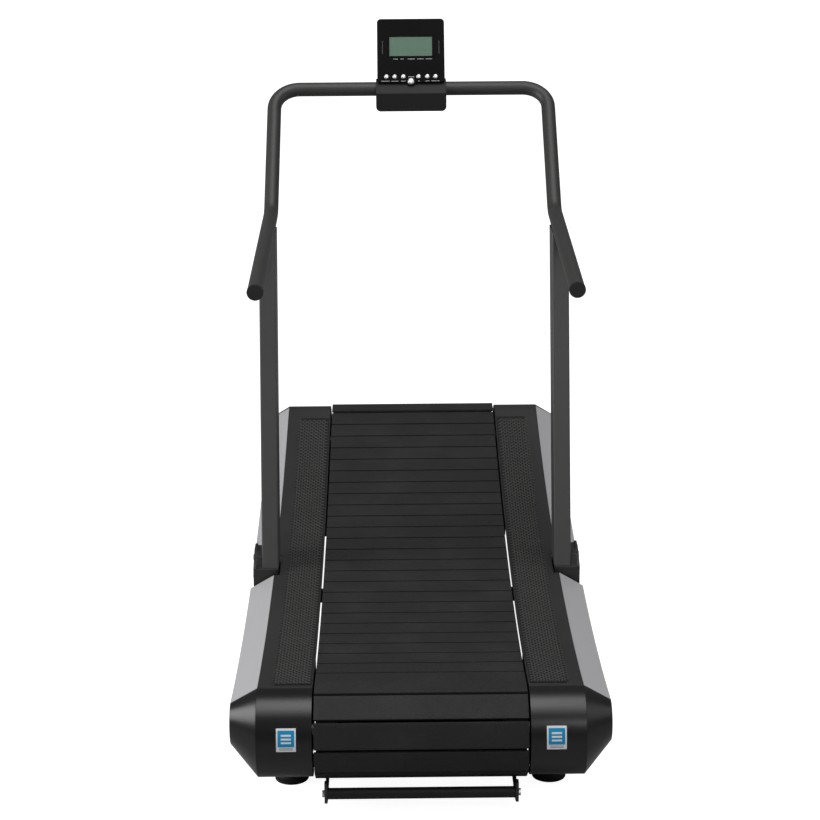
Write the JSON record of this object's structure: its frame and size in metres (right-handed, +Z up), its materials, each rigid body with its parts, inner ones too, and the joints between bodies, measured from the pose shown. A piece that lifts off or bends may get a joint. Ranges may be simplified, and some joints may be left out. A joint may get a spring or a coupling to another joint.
{
  "type": "curved manual treadmill",
  "caption": "Motorless treadmill with a curved slatted running belt, side housings, leaning uprights, a bent handlebar and a small display console.",
  "frame": {"origin": "on the floor, under the middle of the machine's length and width", "axes": "+Y forwards, from the lift bar towards the console; +X to the right of a runner facing the console; +Z up"},
  "size_m": [0.801, 1.7548, 1.4951],
  "materials": {
    "slat_rubber": "fine embossed grain, dull",
    "slat_core": "plain extruded",
    "carrier_rubber": "dull",
    "pulley_plastic": "moulded",
    "axle_steel": "turned",
    "bearing_steel": "satin",
    "roller_plastic": "moulded",
    "frame_paint": "satin powder coat",
    "rail_steel": "plain",
    "foot_rubber": "satin",
    "wheel_rubber": "satin",
    "cap_plastic": "smooth satin",
    "cover_plastic": "satin",
    "pad_rubber": "raised chevrons",
    "panel_silver": "satin silver grey",
    "upright_paint": "fine textured powder coat",
    "bracket_paint": "satin black",
    "handlebar_paint": "satin powder coat",
    "end_cap_plastic": "grained",
    "bolt_steel": "zinc plated",
    "lift_bar_paint": "gloss black",
    "console_plastic": "semi gloss",
    "display": "grey green liquid crystal",
    "board_green": "laminate",
    "battery_plastic": "moulded",
    "bracket_sheet": "satin black sheet",
    "button_metal": "silver plated",
    "label_print": "printed sticker"
  },
  "bodies": {
    "frame": {"deck_slat_treads": "slat_rubber", "return_slat_treads": "slat_rubber", "slat_cores": "slat_core", "carrier_belts": "carrier_rubber", "axle_bearings": "bearing_steel", "one_way_clutch": "bearing_steel", "frame_beam_right": "frame_paint", "frame_beam_left": "frame_paint", "cross_members": "frame_paint", "axle_plates": "frame_paint", "track_rails": "rail_steel", "floor_legs": "frame_paint", "lift_bar": "lift_bar_paint", "frame_bolts": "bolt_steel", "rear_cap_right": "cap_plastic", "rear_cap_left": "cap_plastic", "front_cap_right": "cap_plastic", "front_cap_left": "cap_plastic", "side_cover_rear_right": "cover_plastic", "side_cover_rear_left": "cover_plastic", "side_cover_front_right": "cover_plastic", "side_cover_front_left": "cover_plastic", "side_panel_right": "panel_silver", "side_panel_left": "panel_silver", "foot_pads": "pad_rubber", "cap_labels": "label_print", "upright_right": "upright_paint", "upright_left": "upright_paint", "upright_bracket_right": "bracket_paint", "upright_bracket_left": "bracket_paint", "handlebar": "handlebar_paint", "handle_end_caps": "end_cap_plastic", "console_front_shell": "console_plastic", "console_back_shell": "console_plastic", "lcd_panel": "display", "circuit_board": "board_green", "battery_pack": "battery_plastic", "console_bracket": "bracket_sheet", "console_clamps": "bracket_sheet"},
    "rear_drum": {"rear_axle": "axle_steel", "rear_pulleys": "pulley_plastic"},
    "front_drum": {"front_axle": "axle_steel", "front_pulleys": "pulley_plastic"},
    "roller_1": {"track_roller_1": "roller_plastic"},
    "roller_2": {"track_roller_2": "roller_plastic"},
    "roller_3": {"track_roller_3": "roller_plastic"},
    "roller_4": {"track_roller_4": "roller_plastic"},
    "foot_rear_left_body": {"foot_rear_left": "foot_rubber"},
    "foot_rear_right_body": {"foot_rear_right": "foot_rubber"},
    "foot_front_left_body": {"foot_front_left": "foot_rubber"},
    "foot_front_right_body": {"foot_front_right": "foot_rubber"},
    "wheel_left_body": {"wheel_left": "wheel_rubber"},
    "wheel_right_body": {"wheel_right": "wheel_rubber"},
    "button_1_body": {"button_1": "button_metal"},
    "button_2_body": {"button_2": "button_metal"},
    "button_3_body": {"button_3": "button_metal"},
    "button_4_body": {"button_4": "button_metal"},
    "button_5_body": {"button_5": "button_metal"},
    "button_6_body": {"button_6": "button_metal"},
    "button_centre_body": {"button_centre": "button_metal"}
  },
  "joints": [
    {"name": "front_axle_spin", "type": "hinge", "parent": "frame", "child": "front_drum", "pos_m": [0, 0.7745, 0.316], "axis": [1, 0, 0], "continuous": true},
    {"name": "rear_axle_spin", "type": "hinge", "parent": "frame", "child": "rear_drum", "pos_m": [0, -0.7745, 0.173], "axis": [1, 0, 0], "continuous": true},
    {"name": "roller_1_spin", "type": "hinge", "parent": "frame", "child": "roller_1", "pos_m": [0, -0.60145, 0.23251], "axis": [1, 0, 0], "continuous": true},
    {"name": "roller_2_spin", "type": "hinge", "parent": "frame", "child": "roller_2", "pos_m": [0, -0.24916, 0.22854], "axis": [1, 0, 0], "continuous": true},
    {"name": "roller_3_spin", "type": "hinge", "parent": "frame", "child": "roller_3", "pos_m": [0, 0.15346, 0.26101], "axis": [1, 0, 0], "continuous": true},
    {"name": "roller_4_spin", "type": "hinge", "parent": "frame", "child": "roller_4", "pos_m": [0, 0.56614, 0.33629], "axis": [1, 0, 0], "continuous": true},
    {"name": "foot_rear_left_turn", "type": "hinge", "parent": "frame", "child": "foot_rear_left_body", "pos_m": [-0.281, -0.651, 0.02], "axis": [0, 0, 1], "continuous": true},
    {"name": "foot_rear_right_turn", "type": "hinge", "parent": "frame", "child": "foot_rear_right_body", "pos_m": [0.281, -0.651, 0.02], "axis": [0, 0, 1], "continuous": true},
    {"name": "foot_front_left_turn", "type": "hinge", "parent": "frame", "child": "foot_front_left_body", "pos_m": [-0.292, 0.64, 0.02], "axis": [0, 0, 1], "continuous": true},
    {"name": "foot_front_right_turn", "type": "hinge", "parent": "frame", "child": "foot_front_right_body", "pos_m": [0.292, 0.64, 0.02], "axis": [0, 0, 1], "continuous": true},
    {"name": "wheel_left_spin", "type": "hinge", "parent": "frame", "child": "wheel_left_body", "pos_m": [-0.292, 0.712, 0.044], "axis": [1, 0, 0], "continuous": true},
    {"name": "wheel_right_spin", "type": "hinge", "parent": "frame", "child": "wheel_right_body", "pos_m": [0.292, 0.712, 0.044], "axis": [1, 0, 0], "continuous": true},
    {"name": "button_1_press", "type": "slide", "parent": "frame", "child": "button_1_body", "axis": [0, 0.8829, -0.4695], "range_m": [0, 0.001], "stiffness_N_per_m": 700, "springref_m": -0.0005},
    {"name": "button_2_press", "type": "slide", "parent": "frame", "child": "button_2_body", "axis": [0, 0.8829, -0.4695], "range_m": [0, 0.001], "stiffness_N_per_m": 700, "springref_m": -0.0005},
    {"name": "button_3_press", "type": "slide", "parent": "frame", "child": "button_3_body", "axis": [0, 0.8829, -0.4695], "range_m": [0, 0.001], "stiffness_N_per_m": 700, "springref_m": -0.0005},
    {"name": "button_4_press", "type": "slide", "parent": "frame", "child": "button_4_body", "axis": [0, 0.8829, -0.4695], "range_m": [0, 0.001], "stiffness_N_per_m": 700, "springref_m": -0.0005},
    {"name": "button_5_press", "type": "slide", "parent": "frame", "child": "button_5_body", "axis": [0, 0.8829, -0.4695], "range_m": [0, 0.001], "stiffness_N_per_m": 700, "springref_m": -0.0005},
    {"name": "button_6_press", "type": "slide", "parent": "frame", "child": "button_6_body", "axis": [0, 0.8829, -0.4695], "range_m": [0, 0.001], "stiffness_N_per_m": 700, "springref_m": -0.0005},
    {"name": "button_centre_press", "type": "slide", "parent": "frame", "child": "button_centre_body", "axis": [0, 0.8829, -0.4695], "range_m": [0, 0.001], "stiffness_N_per_m": 900, "springref_m": -0.0005}
  ],
  "couplings": [
    {"joint": "rear_axle_spin", "follows": "front_axle_spin", "ratio": 1},
    {"joint": "roller_1_spin", "follows": "front_axle_spin", "ratio": 4.775},
    {"joint": "roller_2_spin", "follows": "front_axle_spin", "ratio": 4.775},
    {"joint": "roller_3_spin", "follows": "front_axle_spin", "ratio": 4.775},
    {"joint": "roller_4_spin", "follows": "front_axle_spin", "ratio": 4.775}
  ]
}
